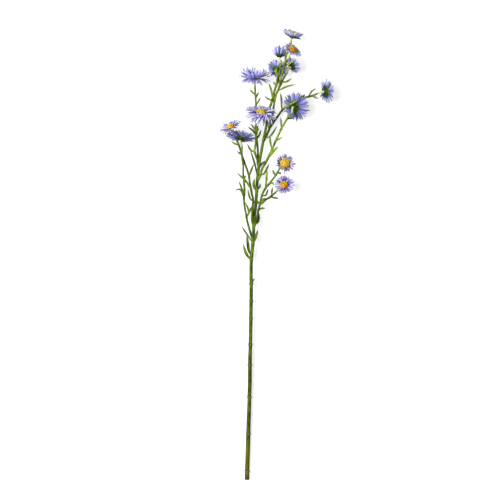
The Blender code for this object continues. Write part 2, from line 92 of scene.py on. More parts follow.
STEM_ROUTE = (
    (-1.4, 0, 3.4), (-0.9, 20, 4), (0, 48, 4.9), (0.9, 80, 6), (1.8, 105, 6.8), (2.3, 125, 7.4), (2.9, 147, 8),
    (3.1, 175, 9), (3.8, 204, 10), (4.6, 250, 11.2), (5, 285, 12), (5, 327, 13), (8, 360, 14), (9, 390, 14.8),
    (12, 414, 15.3), (14, 446, 15.8), (16, 468, 16), (21, 498, 16.4), (26, 523, 17), (33, 560, 18),
)
STEM_RADII = (  # height, radius
    (0, 3.4), (60, 3.3), (120, 2.95), (165, 3.05), (205, 2.8), (295, 2.65), (360, 2.5), (460, 2.2), (560, 1.9),
)
STEM_RINGS = (13, 70, 125, 173, 204, 243, 269, 295)  # heights of the ring joints
SPRIG_STEP = 9  # spacing of the cross-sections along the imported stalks

STALKS = {
    "sprig_left_outer": (Stalk((
        (5, 368, 15), (0, 385, 15.5), (-3, 400, 16.5), (-5, 412, 17), (-6, 423, 18), (-5, 435, 19),
        (-7, 460, 21), (-7, 472, 22), (-9, 487, 24.5), (-9, 500, 27),
    )),),
    "sprig_left_inner": (Stalk((
        (6, 391, 18), (7, 408, 19.5), (8, 420, 19.5), (6, 430, 19.5), (3, 446, 19), (1, 459, 18.5),
        (-5, 477, 17.5), (-9, 488, 15.5), (-11, 495, 12), (-14, 504, 6), (-17, 511, 3.2), (-21, 519, 4),
        (-25, 526.5, 8.5), (-27.5, 531, 15), (-28, 532.5, 21),
    )),),
    "sprig_right_low": (Stalk((
        (12, 387, 17), (14, 396, 17.5), (16, 406, 19), (18, 414, 20), (21, 427, 21), (24, 434, 21.5),
        (28, 440, 21.5), (32, 445, 21), (36, 450, 20.5), (42, 458, 19.5), (45, 463, 20), (48, 468.5, 22.5),
    )), Stalk((
        (18, 414, 20), (22, 416.5, 20.5), (27, 421.5, 20), (32, 424, 19.5), (38, 429, 18.5), (45, 435, 19),
    ), 1.65)),
    "sprig_right_high": (Stalk((
        (18.5, 457, 17), (20.5, 465, 18.5), (22.5, 470, 19), (28, 479, 20), (32, 488, 21), (36, 496, 22),
        (43, 512, 25), (50, 527, 28), (54, 534, 29.5), (60, 544, 32), (65, 550.5, 33),
    ), 1.95),),
    "sprig_upper_left": (Stalk((
        (14.5, 478, 13.4), (15, 485, 12.8), (15, 494, 12.5), (14, 506, 12), (12, 522, 11.5), (12, 540, 12),
        (12, 562, 15), (11.3, 578, 18.5), (10.6, 590.5, 21.5),
    )), Stalk((
        (14.7, 481, 13.1), (13, 484, 15.5), (11, 490, 18.5), (10, 495, 20), (12, 507, 22), (13, 520, 24),
        (14, 529, 26), (15, 534.5, 27.5),
    ), 1.65)),
    "sprig_upper_right": (Stalk((
        (27.5, 515.5, 15.4), (30, 522, 14.7), (33.5, 529.5, 13), (40, 539.5, 10.5), (46, 548, 8.5),
        (51.5, 555.5, 7.5), (61.5, 564, 6.5), (73.5, 571, 7), (84.5, 574.5, 10), (95.5, 577, 14.5),
        (104.5, 580.5, 19),
    )), Stalk((
        (34.8, 531.5, 12.2), (36, 538, 14.5), (37, 548, 16.5), (38, 556, 18), (39.5, 566, 20.5),
        (42, 578, 24), (45, 585, 27), (47, 591, 30), (49, 599, 33), (51, 608, 35), (54, 620, 36.5),
        (56, 630, 35.5), (57.5, 639, 33.5), (61, 646, 31), (63, 651, 29), (64, 654.5, 27.5),
    ), 1.85), Stalk((
        (53, 616, 36.3), (54.3, 620.5, 38), (57, 626, 40), (59.5, 630.5, 41),
    ), 1.65), Stalk((
        (45.5, 587, 28), (48, 591, 27), (52, 599, 26), (54, 604, 25.8), (57, 609, 25.5),
    ), 1.55)),
    "sprig_top": (Stalk((
        (33.3, 560.8, 18.1), (36.4, 570, 20), (38.4, 578, 22.5), (40, 585, 25), (43, 594, 27.5),
        (44, 601, 29), (46, 607, 30), (48, 614, 30.5), (49, 620, 30), (49, 625, 29),
    ), 2), Stalk((
        (43, 594, 27.5), (46, 600, 26.5), (45.5, 606.5, 22.5),
    ), 1.55)),
}
LEAVES = {
    "main_stem": (
        Leaf(((8, 295), (10, 303)), 2, 2.8), Leaf(((6, 356), (-2, 370), (-10, 382)), -7),
        # The leaf from (10, 384) is given painted light against the shade of the sprigs above it.
        Leaf(((9, 354), (12, 366), (15, 376)), 8, 4.6), Leaf(((10, 384), (15, 388), (17, 401)), -3, 4, 0.6),
        Leaf(((3, 330), (-2, 340), (-7, 355)), 5, 5.2), Leaf(((4, 337), (1, 346), (-2, 369)), -5, 5.2),
        Leaf(((12, 434), (9, 442), (10, 453)), 6, 4.8), Leaf(((14, 435), (18, 441), (18, 446)), -3),
        Leaf(((16, 466), (20, 474), (27, 480)), -6), Leaf(((12, 453), (11, 472), (3, 498)), -5),
        Leaf(((26, 512), (34, 517), (44, 532)), 7),
    ),
    "sprig_left_outer": (
        Leaf(((-9, 488), (-16, 494))), Leaf(((-5, 444), (-5, 454), (-2, 458)), 6),
        Leaf(((-6, 428), (-10, 440), (-14, 450)), 3), Leaf(((-6, 423), (-11, 436), (-20, 435)), -4),
        Leaf(((-2, 394), (1, 404), (-4, 418)), 7), Leaf(((-2, 394), (2, 402), (7, 413)), -7),
    ),
    "sprig_left_inner": (
        Leaf(((-14, 503), (-21, 506), (-25, 509)), 1), Leaf(((2, 455), (5, 465), (9, 475)), 5),
        Leaf(((5, 436), (-3, 449), (-17, 462)), 9, 3.9), Leaf(((8, 418), (3, 424), (0, 437)), 7),
    ),
    "sprig_right_low": (
        Leaf(((26, 437), (28, 450), (29, 468)), 8, 3.7), Leaf(((31, 443), (37, 446), (39, 442)), 5),
        Leaf(((22, 427), (27, 428), (31, 438)), -7), Leaf(((36, 427), (36, 435), (37, 440))),
        Leaf(((34, 425), (40, 424), (46, 423)), -4), Leaf(((19, 416), (23, 420), (26, 424)), 7, 4.5),
        Leaf(((16, 406), (21, 408), (26, 408)), 0), Leaf(((42, 458), (39, 461), (37, 466)), 5),
        Leaf(((45, 462), (48, 461), (50, 461)), -5), Leaf(((18, 413), (15, 418), (14, 422)), 5),
    ),
    "sprig_right_high": (
        Leaf(((50, 527), (50, 537), (49, 544)), 3), Leaf(((42, 509), (52, 515)), 5),
        Leaf(((36, 496), (34, 507), (33, 518)), -7), Leaf(((29, 482), (39, 494), (46, 501)), 8, 4.6),
        Leaf(((19, 458), (25, 461), (32, 475)), -6), Leaf(((59, 542), (69, 544)), -6),
    ),
    "sprig_upper_left": (
        Leaf(((10, 578), (6, 583), (3, 587))), Leaf(((11, 573), (16, 583))), Leaf(((12, 562), (19, 575)), 5),
        Leaf(((12, 538), (6, 545)), 2), Leaf(((13, 522), (8, 530), (4, 535)), 3),
        Leaf(((12.5, 517), (8, 524.5), (0, 530.5)), 7), Leaf(((12, 511), (17, 518), (20, 526)), -4),
        Leaf(((13, 524), (11, 533)), 6), Leaf(((13, 524), (17, 528)), 2),
        Leaf(((10, 492), (4, 496), (-1, 505))),
    ),
    "sprig_upper_right": (
        Leaf(((51, 555), (50.5, 570), (49, 582)), 0), Leaf(((51, 555), (54, 559, 24), (77, 571)), 29, 2.8),
        Leaf(((91, 576), (96, 584), (103, 589)), 5), Leaf(((96, 577), (106, 573))),
        Leaf(((80, 573), (86, 580)), 6), Leaf(((31, 525), (31.5, 532), (31.5, 538)), 7),
        Leaf(((54, 619), (62, 625), (69, 630)), 3), Leaf(((48, 596), (58, 598), (67, 603))),
        Leaf(((44.5, 584), (57, 590), (72, 594)), 5),
    ),
    "sprig_top": (
        Leaf(((45, 603.5), (43, 611), (42.3, 619)), 4, 3.7), Leaf(((36, 572), (35, 585), (31, 596)), 5, 3.7),
        Leaf(((35, 570), (30, 573), (25, 577))), Leaf(((42, 592), (40, 595), (38, 598))),
    ),
}

# Centre, facing, its stalk, radii of the disc and calyx, count and length of the rays, and in degrees their
# rise at the base and tip, the whorl's turn, how much steeper inner rays stand, and how far the lowest hang.
BLOOMS = (
    Bloom((67, 667.4, 24), (0.33, 0.91, 0.19), ("sprig_upper_right", 1), 7.6, 10.4, 18, 14, 2, 32, 0, 14, -58),
    Bloom((66.8, 645, 46), (0.5, 0.65, 0.5), ("sprig_upper_right", 2), 6.1, 7.6, 16, 11.5, 4, -10, 0, 8, -24),
    Bloom((47.4, 638, 25), (0.12, 0.93, -0.35), ("sprig_top", 0), 6.1, 7.4, 12, 16, 34, 80, 0, 10),
    Bloom((43.5, 617, 16.5), (0.3, 0.55, -0.78), ("sprig_top", 1), 6.1, 7.8, 16, 14.2, 14, 32),
    Bloom((66.2, 621.6, 22.4), (0.62, 0.45, -0.64), ("sprig_upper_right", 3), 6.1, 7.5, 14, 10.5, 20, 42),
    Bloom((9.8, 603.6, 25), (0, 0.99, 0.09), ("sprig_upper_left", 0), 5.6, 7.6, 18, 23, 12, 32, 0, 26, 68),
    Bloom(
        (19.3, 551.4, 42), (0.26, 0.8, 0.54), ("sprig_upper_left", 1), 7.6, 9.5, 18, 19.5, -6, -26, -8, 24, 40,
    ),
    Bloom((69.7, 560.3, 26), (0.47, 0.22, -0.85), ("sprig_right_high", 0), 7.6, 10.4, 18, 19.2, 14, 28, 9),
    Bloom((117.3, 583.5, 18.4), (0.85, 0.1, -0.5), ("sprig_upper_right", 0), 7, 10.2, 16, 15, 10, 8),
    Bloom(
        (-26.3, 529.8, 42.5), (-0.42, 0.8, 0.42), ("sprig_left_inner", 0), 6.1, 7.2, 14, 13.5, 8, 2, 12, 12,
        12,
    ),
    Bloom(
        (-10.9, 513.3, 27), (0.18, 0.9, -0.4), ("sprig_left_outer", 0), 7.6, 9.4, 18, 16.8, 10, 6, 12, 6, -18,
    ),
    Bloom(
        (55.8, 475.4, 34), (0.12, 0.28, 0.95), ("sprig_right_low", 0), 8.2, 8.4, 16, 11.5, 34, 56, 0, 10, 46,
    ),
    Bloom(
        (54.5, 442.9, 30), (-0.08, 0.42, 0.9), ("sprig_right_low", 1), 6.4, 7.4, 16, 11.6, 12, 14, 0, 12, 14,
    ),
)

# What sets each bloom apart. Its petals: how many more there are, their width, how short the shortest are,
# how much longer they are beside the dome and in front of it, towards the spray's foot, how many degrees more
# they rise and by what share they are shorter behind it, how many in front are stubs that stand up, and how
# bleached, light and plum they are. Its dome: how orange, wide and high. Its sepals' reach. Its tube's width.
Look = namedtuple(
    "Look",
    "crowd width shortest spread hanging lifted tucked stubby pale tone plum orange dome crown sepals tube",
    defaults=(1.0, 1.0, 0.8, 1.0, 1.0, 0, 0.0, 0.0, 0.08, 0.15, 0.0, 0.5, 1.0, 1.0, 1.0, 1.0),
)
LOOKS = (
    Look(1.4, 1.3, pale=0.8, tone=0.65, orange=0.2, sepals=1.4, crown=1.4, tube=1.25),
    Look(1.25, 1.3, shortest=0.7, pale=0.7, tone=0.6, plum=0.2, orange=0.85, dome=1.12),
    Look(1.5, 1.2, shortest=0.6, pale=0.3, tone=0.6, sepals=1.2),
    Look(1.2, 1.1, pale=0.25, tone=0.5),
    Look(1.15, 1.1, pale=0.3, tone=0.6),
    Look(1.2, 1.8, lifted=16, pale=0.75, tone=0.65, plum=0.15),
    Look(
        1.45, 1.4, shortest=0.86, spread=1.26, tucked=0.4, stubby=0.5, pale=0.9, tone=0.56, plum=0.35,
        orange=-0.1,
    ),
    Look(1.35, 1.05, pale=0.25, tone=0.05),
    Look(1.0, 1.1, pale=0.2, tone=0.35, sepals=1.08),
    Look(1.25, 1.15, shortest=0.7, spread=1.14, pale=0.5, tone=0.35, plum=0.2, orange=0.25),
    Look(1.2, 0.95, shortest=0.94, spread=1.16, pale=0.15, tone=0.3),
    Look(1.2, 0.75, shortest=0.35, hanging=1.18, pale=0.35, tone=0.45, plum=0.7, orange=0.34),
    Look(1.25, 1.0, shortest=0.72, spread=1.08, pale=0.5, tone=0.5, plum=0.5, orange=0.6),
)

# --- the finer shapes, mm ---
CUT_END = Vector(STEM_ROUTE[0])
STEM_STEP = 3.0
STEM_SIDES = 24
RING_CREST = (0.8, 1.5)  # height and half length of the ridge at a ring joint
RING_GROOVE = (0.32, 0.55, 1.5)  # depth, half length and place above the ridge of its groove
RING_SECTIONS = (0.4, 8)  # spacing of the cross-sections at a ring joint, and their number on each side
RING_CLEAR = 3.4  # how far the stem's other cross-sections keep from it
STALK_STEP = 1.6
STALK_SIDES = 12
NODE_SWELL = (0.32, 1.3)  # how much a stalk swells at a leaf's base, and over what half length
AXIL_SHADE = (0.3, 1.6)  # how much painted shade darkens it there, likewise
FOOT_REACH = 9.0  # how far back along the stem a sprig's foot runs on
PEG_SHARE = 0.4  # how far the top sprig's peg goes into the stem, as a share of its first stretch

LEAF_STATIONS = 14
LEAF_THICK = 0.9
LEAF_FOLD = 0.42  # rise of a blade's edges, as a share of its half width
LEAF_OUTLINE = (  # place along a leaf, half width
    (0, 0.42), (0.1, 0.5), (0.25, 0.76), (0.5, 1.0), (0.72, 0.86), (0.88, 0.52), (0.97, 0.2), (1, 0.06),
)
LEAF_PETIOLE = 0.25  # share of its length over which a blade opens out of its petiole
LEAF_MIDRIB = (0.3, 0.16, -1.2)  # depth and half width of its groove as shares, and the keel by the groove
LEAF_ROLL = 38  # degrees by which a tip may turn about its length
LEAF_TONE = (0.52, 0.03, 0.25)  # how light a leaf is, its painted light for each mm of rise, and chance's part
BLADE_STATIONS = (-1, -0.72, -0.38, -0.1, 0, 0.1, 0.38, 0.72, 1)  # places across the upper face of a blade

HUB_SHARE = 0.74  # radius of a whorl's hub, as a share of the dome's
PETAL_STATIONS = 9
PETAL_THICK = 0.28
PETAL_WIDTH = 3.1
PETAL_ACROSS = (-1, -0.6, -0.28, 0, 0.28, 0.6, 1)  # places across a petal
PETAL_ROOT = 0.62  # where a petal is cut free, as a share of the hub's radius
PETAL_RIM = 0.92  # where it comes out from under the dome, as a share of the dome's radius
PETAL_WIDEST = 0.6  # where it is widest, as a share of its length
PETAL_CUP = 0.34  # rise of its edges, as a share of its half width
PETAL_PLEAT = (0.14, 0.28, 0.14)  # depth of its two pleats, and their place and half width as shares
PETAL_EDGE = 0.35  # thickness of its edges and tip, as a share of its middle's
PETAL_LONGEST = 1.04
ROOT_HANG = 0.45  # how much of a petal's droop is at its root
INNER_HOLD = 0.7  # how much less the innermost layer droops
STUB = (0.5, 48)  # length of a stub as a share of a petal's, and how many degrees more it rises
BLEACHING = (0.0, 0.4, 0.9, 1.6)  # a petal is bleached by one of these, times its bloom's amount
BLEACH_LIGHT = (0.45, 0.4)  # how much lighter bleaching makes a petal, and from which bleaching on
CHANCE = {  # how far chance moves each thing about a petal
    "spacing": (-0.26, 0.26), "edge": (0.94, 1.06), "width": (0.8, 1.1), "tone": (-0.35, 0.75),
    "rise": (-6, 6), "droop": (-16, 12), "bend": (-16, 16), "twist": (-36, 36),  # degrees
}
# A bloom's layers, from below: petals for each ray, length, share of the inner rise, height, turn, tone.
# The lower layers' tone is darker, as painted shade under those above.
LAYERS = (
    (1.25, 1.0, 0.0, -0.48, 0.0, 0.0),
    (1.1, 0.97, 0.55, -0.14, 0.12, 0.15),
    (0.85, 0.88, 1.0, 0.2, 0.3, 0.35),
)

DOME_RISE = 0.7  # height of a dome, as a share of its radius
DOME_CORE = 0.86  # size of the smooth dome under the knobs, as a share of the whole
DOME_FOOT = 0.45
DOME_SHADE = 0.1  # the core's colour, from 0 for the gaps' to 1 for the knobs' tops
DOME_SIDES = 32
DOME_SLOPES = (84, 66, 45, 24, 6)  # degrees above the rim of the core's cross-sections
KNOBS = 1.9  # how many there are, by the dome's radius squared
KNOB_SPAN = 0.92  # how far down the dome's side they reach
KNOB_SIDES = 6
# Height and radius of a knob's cross-sections, and how far along it they lie.
KNOB_PROFILE = ((-0.35, 0.8, 0.0), (0.25, 0.86, 0.25), (0.68, 1.0, 0.75), (0.95, 0.6, 1.0))
GOLDEN_ANGLE = pi * (3 - sqrt(5))
SHADED_SIDE = Vector((0.5, -0.85, 0))  # the side of a dome away from the light, painted more orange as shade

SEPALS = 6
SEPAL_STEPS = 10  # points round the edge of each
SEPAL_STATIONS = (0.0, 0.3, 0.55, 0.75, 0.9, 1.0)
UPPER_CUP = (-0.75, 2.6, 0.3, 0.7)  # top, depth, turn and thickness
LOWER_CUP = (0.66, -1.25, 2.3, 0.3 + pi / SEPALS, 0.8)  # the same, after its reach as a share of the calyx's

TUBE_SIDES = 20
TUBE_STEP = 0.7
TUBE_TOP = -3.8  # height in the bloom's own axes, below the sepals
TUBE_WAIST = 1.55
TUBE_FLARE = 2.1
TUBE_LIP = (0.22, 0.9)  # height and half length
TUBE_STRAIGHT = 1.5  # how far it runs straight at both ends
TUBE_BOW = 0.35  # how far it bows out between them, as a share of the way

# Sizes of the patterns on the materials, mm.
DYE_BLOT = 2.2
SPRAY_CLOUD = 14.0
DRAG_MARK = 2.0
TUBE_CLOUD = 3.0
KNOB_FLECK = 2.4

# What a point tells its material: how far along and across its leaf or petal it lies, whether it is on the
# underside, how light and how bleached it is, and how much darker, at the stem's joints or in painted
# shade, or on a petal how plum.
VALUES = ("along", "across", "under", "tone", "pale", "dark")
SHADER = "Principled BSDF"


# --- node materials ---
def linear(hex_colour):
    """The linear RGBA of an sRGB hex colour."""
    channels = [int(hex_colour[i : i + 2], 16) / 255 for i in (0, 2, 4)]
    return [c / 12.92 if c <= 0.04045 else ((c + 0.055) / 1.055) ** 2.4 for c in channels] + [1.0]


def add(tree, kind, sockets=None, out=0, stops=None, **settings):
    """Adds a node with its settings, ramp stops, and its sockets' values or links. Returns an output."""
    made = tree.nodes.new("ShaderNode" + kind)
    for name, value in settings.items():
        setattr(made, name, value)
    if stops:
        marks = made.color_ramp.elements
        while len(marks) < len(stops):
            marks.new(1.0)
        for mark, (place, colour) in zip(marks, stops):
            mark.position, mark.color = place, linear(colour)
    for name, value in (sockets or {}).items():
        socket = made.inputs[name]
        if isinstance(value, bpy.types.NodeSocket):
            tree.links.new(value, socket)
        else:
            socket.default_value = value
    return made.outputs[out]


def new_material(name, values, **surface):
    """A material with its shader's fixed sockets, add() for its tree, and its points' place and values."""
    material = bpy.data.materials.new(name)
    material.use_nodes = True
    for socket, value in surface.items():
        material.node_tree.nodes[SHADER].inputs[socket.replace("_", " ")].default_value = value
    node = partial(add, material.node_tree)
    place = node("TexCoord", out="Object")
    return material, node, place, [node("Attribute", out="Fac", attribute_name=value) for value in values]


def finish(material, relief, strength, depth, **links):
    """Links sockets of a material's shader, and gives it relief with the depth in mm."""
    tree = material.node_tree
    links["Normal"] = add(tree, "Bump", {"Height": relief, "Strength": strength, "Distance": depth * MM})
    for socket, output in links.items():
        tree.links.new(output, tree.nodes[SHADER].inputs[socket.replace("_", " ")])
    return material


def pressed_petal_cloth():
    """Polyester satin, dyed, cut and heat-pressed: matt, violet root, paler outwards, edges in painted shade.
    """
    material, node, place, (along, across, under, tone, pale, plum) = new_material(
        "pressed_petal_cloth", VALUES, Roughness=0.8, IOR=1.46, Specular_IOR_Level=0.12,
    )
    # The dye runs unevenly, in blots of about 2 mm.
    blot = node("TexNoise", {"Vector": place, "Scale": 1 / (DYE_BLOT * MM), "Detail": 3})
    shifted = node("Math", {0: blot, 1: 0.34, 2: along}, operation="MULTIPLY_ADD")
    depth = node("Math", {0: shifted, 1: 0.17}, operation="SUBTRACT")
    # Violet at the root, deepened there with painted shade under the dome and upper layers, and paler
    # outwards.
    face = node("ValToRGB", {"Fac": depth}, stops=(
        (0, "2a2074"), (0.16, "4c3fae"), (0.36, "857ae0"), (0.6, "b3acf6"), (0.86, "f2f1ff"),
    ))
    back = node("ValToRGB", {"Fac": depth}, stops=(
        (0, "363a98"), (0.16, "6468cc"), (0.4, "9699f4"), (0.7, "b4b8ff"), (0.92, "e2e4ff"),
    ))
    sided = node("Mix", {"Factor": under, 6: face, 7: back}, out=2, data_type="RGBA")
    # The pressed pleats run along the petal, about 1 mm apart, with painted shade in their folds and along the
    # edges.
    pleat = node("Math", {0: across, 1: 11}, operation="MULTIPLY")
    wave = node("Math", {0: pleat}, operation="COSINE")
    shade = node("MapRange", {"Value": wave, 1: -1, 2: 1, 3: 0.86, 4: 1.06})
    aside = node("Math", {0: across}, operation="ABSOLUTE")
    edge = node("MapRange", {"Value": aside, 1: 0.5, 2: 1, 3: 1.04, 4: 0.45})
    lift = node("MapRange", {"Value": tone, 1: 0, 2: 1, 3: 0.36, 4: 1.34})
    value = node("Math", {0: shade, 1: lift}, operation="MULTIPLY")
    value = node("Math", {0: value, 1: edge}, operation="MULTIPLY")
    plummy = {"Factor": plum, 6: sided, 7: linear("d0a6ca")}
    purple = node("Mix", plummy, out=2, data_type="RGBA", blend_type="MULTIPLY")
    faded = node("Mix", {"Factor": pale, 6: purple, 7: linear("e9ecfb")}, out=2, data_type="RGBA")
    varied = node("HueSaturation", {"Value": value, "Color": faded})
    return finish(material, wave, 0.35, 0.12, Base_Color=varied)


def moulded_green(name, low, middle, high, start, end):
    """Moulded polyethylene, tinted in the mould: satin, spray-mottled, pale-edged, with painted light and
    shade.

    Its colour goes from low to high between two places along the spray, in metres.
    """
    material, node, place, (tone, pale, dark) = new_material(
        name, ("tone", "pale", "dark"), IOR=1.5, Specular_IOR_Level=0.07,
    )
    height = node("SeparateXYZ", {0: place}, out="Y")
    share = node("MapRange", {"Value": height, 1: start, 2: end})
    # Spray clouds, and the mould's drag marks, five times as long as wide and drawn coarse so that they show.
    cloud = node("TexNoise", {"Vector": place, "Scale": 1 / (SPRAY_CLOUD * MM), "Detail": 4})
    stretch = node("Mapping", {"Vector": place, "Scale": (1, 0.2, 1)})
    drag = node("TexNoise", {"Vector": stretch, "Scale": 1 / (DRAG_MARK * MM), "Detail": 5})
    moved = node("Math", {0: cloud, 1: 0.5, 2: share}, operation="MULTIPLY_ADD")
    level = node("Math", {0: moved, 1: 0.25}, operation="SUBTRACT")
    tint = node("ValToRGB", {"Fac": level}, stops=((0, low), (0.5, middle), (1, high)))
    patch = node("Math", {0: cloud, 1: 0.8, 2: drag}, operation="MULTIPLY_ADD")
    streak = node("MapRange", {"Value": patch, 1: 0.75, 2: 1.03, 3: 0.4, 4: 1.38})
    lift = node("MapRange", {"Value": tone, 1: 0, 2: 1, 3: 0.45, 4: 1.5})
    value = node("Math", {0: streak, 1: lift}, operation="MULTIPLY")
    # Painted light and shade: upward faces lighter, flanks and undersides darker, as if lit from above.
    normal = node("NewGeometry", out="Normal")
    upward = node("SeparateXYZ", {0: normal}, out="Z")
    painted_top_light = node("MapRange", {"Value": upward, 1: 0.1, 2: 0.9, 3: 0.52, 4: 1.2})
    value = node("Math", {0: value, 1: painted_top_light}, operation="MULTIPLY")
    varied = node("HueSaturation", {"Value": value, "Color": tint})
    # Pale edges, tips and midribs, and painted highlights on the ridges of the stem's rings.
    pale_edges_and_highlights = node("Mix", {"Factor": pale, 6: varied, 7: linear("b3c474")}, out=2, data_type="RGBA")
    # Darker at the stem's joints and cut end, and painted shade at leaf feet and between the sepals.
    dark_and_painted_shade = node("Mix", {"Factor": dark, 6: pale_edges_and_highlights, 7: linear("2c3313")}, out=2, data_type="RGBA")
    rough = node("MapRange", {"Value": drag, 1: 0.3, 2: 0.7, 3: 0.42, 4: 0.6})
    return finish(material, drag, 0.3, 0.15, Base_Color=dark_and_painted_shade, Roughness=rough)


def pale_tube_plastic():
    """Soft moulded polyethylene, hardly tinted: cream, with a green cast that deepens towards the stalk."""
    material, node, place, (along,) = new_material(
        "pale_tube_plastic", ("along",), IOR=1.5, Roughness=0.5, Specular_IOR_Level=0.25,
    )
    cloud = node("TexNoise", {"Vector": place, "Scale": 1 / (TUBE_CLOUD * MM), "Detail": 3})
    moved = node("Math", {0: cloud, 1: 0.3, 2: along}, operation="MULTIPLY_ADD")
    tint = node("ValToRGB", {"Fac": moved}, stops=(
        (0.1, "a2b45e"), (0.45, "d2da98"), (0.95, "eaebb8"), (1, "dfe3a6"),
    ))
    return finish(material, cloud, 0.3, 0.1, Base_Color=tint)


def floret_plastic():
    """Moulded polyethylene knobs, yellow to orange with painted shade: satin tops, and deep orange in the
    gaps.
    """
    material, node, place, (along, tone) = new_material(
        "floret_plastic", ("along", "tone"), IOR=1.5, Roughness=0.6, Specular_IOR_Level=0.2,
    )
    fleck = node("TexNoise", {"Vector": place, "Scale": 1 / (KNOB_FLECK * MM), "Detail": 2})
    ripe = node("Math", {0: fleck, 1: 3.4, 2: tone}, operation="MULTIPLY_ADD")
    level = node("Math", {0: ripe, 1: 1.72}, operation="SUBTRACT")
    top = node("ValToRGB", {"Fac": level}, stops=(
        (0, "fffc78"), (0.4, "fff33e"), (0.7, "ffc31c"), (1, "e87c0c"),
    ))
    deep = node("ValToRGB", {"Fac": level}, stops=((0, "f0b41e"), (1, "b0540c")))
    tint = node("Mix", {"Factor": along, 6: deep, 7: top}, out=2, data_type="RGBA")
    return finish(material, fleck, 0.4, 0.1, Base_Color=tint)


# --- shapes ---
def cut_end_of(node):
    """The middle of the stem's cut end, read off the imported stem's end face, in mm."""
    places = [v.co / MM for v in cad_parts[node].data.vertices]
    lowest = min(p.y for p in places)
    face = [p for p in places if p.y < lowest + 1]
    return sum(face, Vector()) / len(face)


SHIFT = cut_end_of("main_stem") - CUT_END


class Shape:
    """The points, faces and per-point values of one piece, in mm from the stem's cut end."""

    def __init__(self):
        self.points, self.faces = [], []
        self.values = {name: [] for name in VALUES}

    def point(self, place, **values):
        self.points.append(place)
        for name in VALUES:
            self.values[name].append(values.get(name, 0.0))
        return len(self.points) - 1

    def loft(self, rings, capped=True):
        """Skins rings of points that hold the same number each, and closes both ends."""
        for a, b in zip(rings, rings[1:]):
            for i in range(len(a)):
                j = (i + 1) % len(a)
                self.faces.append((a[i], a[j], b[j], b[i]))
        if capped:
            self.faces.append(tuple(reversed(rings[0])))
            self.faces.append(tuple(rings[-1]))


def put(name, data):
    """A new object in the scene."""
    made = bpy.data.objects.new(name, data)
    bpy.context.scene.collection.objects.link(made)
    return made


def make_piece(name, shape, material, node):
    """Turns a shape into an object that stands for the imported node, with its normals facing out."""
    mesh = bpy.data.meshes.new(name)
    mesh.from_pydata([(p + SHIFT) * MM for p in shape.points], [], shape.faces)
    for value, amounts in shape.values.items():
        mesh.attributes.new(value, "FLOAT", "POINT").data.foreach_set("value", amounts)
    bm = bmesh.new()
    bm.from_mesh(mesh)
    bmesh.ops.recalc_face_normals(bm, faces=bm.faces)
    bm.to_mesh(mesh)
    bm.free()
    mesh.shade_smooth()
    mesh.set_sharp_from_angle(angle=SMOOTH_ANGLE)
    mesh.materials.append(material)
    piece = put(name, mesh)
    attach(piece, "root")
    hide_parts(node)


def smooth_route(points, step):
    """Points about one step apart on the Catmull-Rom curve through the given ones."""
    points = [Vector(p) for p in points]
    ends = [2 * points[0] - points[1]] + points + [2 * points[-1] - points[-2]]
    route = []
    for a, b, c, d in zip(ends, ends[1:], ends[2:], ends[3:]):
        pieces = max(1, round((c - b).length / step))
        for i in range(pieces):
            t = i / pieces
            route.append(0.5 * (
                2 * b + (c - a) * t + (2 * a - 5 * b + 4 * c - d) * t ** 2
                + (3 * b - 3 * c + d - a) * t ** 3
            ))
    return route + [points[-1]]


def nearest(route, point, plan_only=False):
    """The point of a polyline nearest to the given one, in plan where that is asked."""
    point = Vector(point)
    best, best_distance = None, inf
    for a, b in zip(route, route[1:]):
        along, offset = b - a, point - a
        if plan_only:
            along, offset = along.xy, offset.xy
        t = min(1.0, max(0.0, offset.dot(along) / along.length_squared))
        distance = (offset - along * t).length
        if distance < best_distance:
            best, best_distance = a.lerp(b, t), distance
    return best


def ramp(table, value):
    """The value read off a table of (place, amount) pairs, straight between its rows."""
    for (x0, y0), (x1, y1) in zip(table, table[1:]):
        if value <= x1:
            return y0 + (y1 - y0) * max(0.0, (value - x0) / (x1 - x0))
    return table[-1][1]


def hump(distance, half_length):
    """A smooth swelling: 1 at no distance, and next to nothing past twice the half length."""
    return exp(-((distance / half_length) ** 2))


def directions(route):
    """The route's direction at each of its points."""
    last = len(route) - 1
    return [(route[min(k + 1, last)] - route[max(k - 1, 0)]).normalized() for k in range(last + 1)]


def circle(centre, side, other, radius, count):
    """Points evenly round a centre, from one side towards the other."""
    return [
        centre + (side * cos(tau * i / count) + other * sin(tau * i / count)) * radius
        for i in range(count)
    ]


def polar(radius, bearing, height=0.0):
    """A point at a radius and a bearing round the Z axis."""
    return Vector((radius * cos(bearing), radius * sin(bearing), height))


def tube(shape, route, radii, sides, **values):
    """A round tube with slightly rounded ends. values gives a list, one entry for each point of the route."""
    before = directions(route)[0]
    side = before.orthogonal().normalized()
    rings = []
    last = len(route) - 1
    for k, (place, forward) in enumerate(zip(route, directions(route))):
        side = before.rotation_difference(forward) @ side
        before = forward
        steps = {0: ((0.0, 0.8), (0.12, 1.0)), last: ((-0.12, 1.0), (0.0, 0.8))}.get(k, ((0.0, 1.0),))
        here = {name: amounts[k] for name, amounts in values.items()}
        for shift, share in steps:
            centre = place + forward * shift * radii[k]
            rings.append([
                shape.point(p, along=k / last, **here)
                for p in circle(centre, side, forward.cross(side), radii[k] * share, sides)
            ])
    shape.loft(rings)


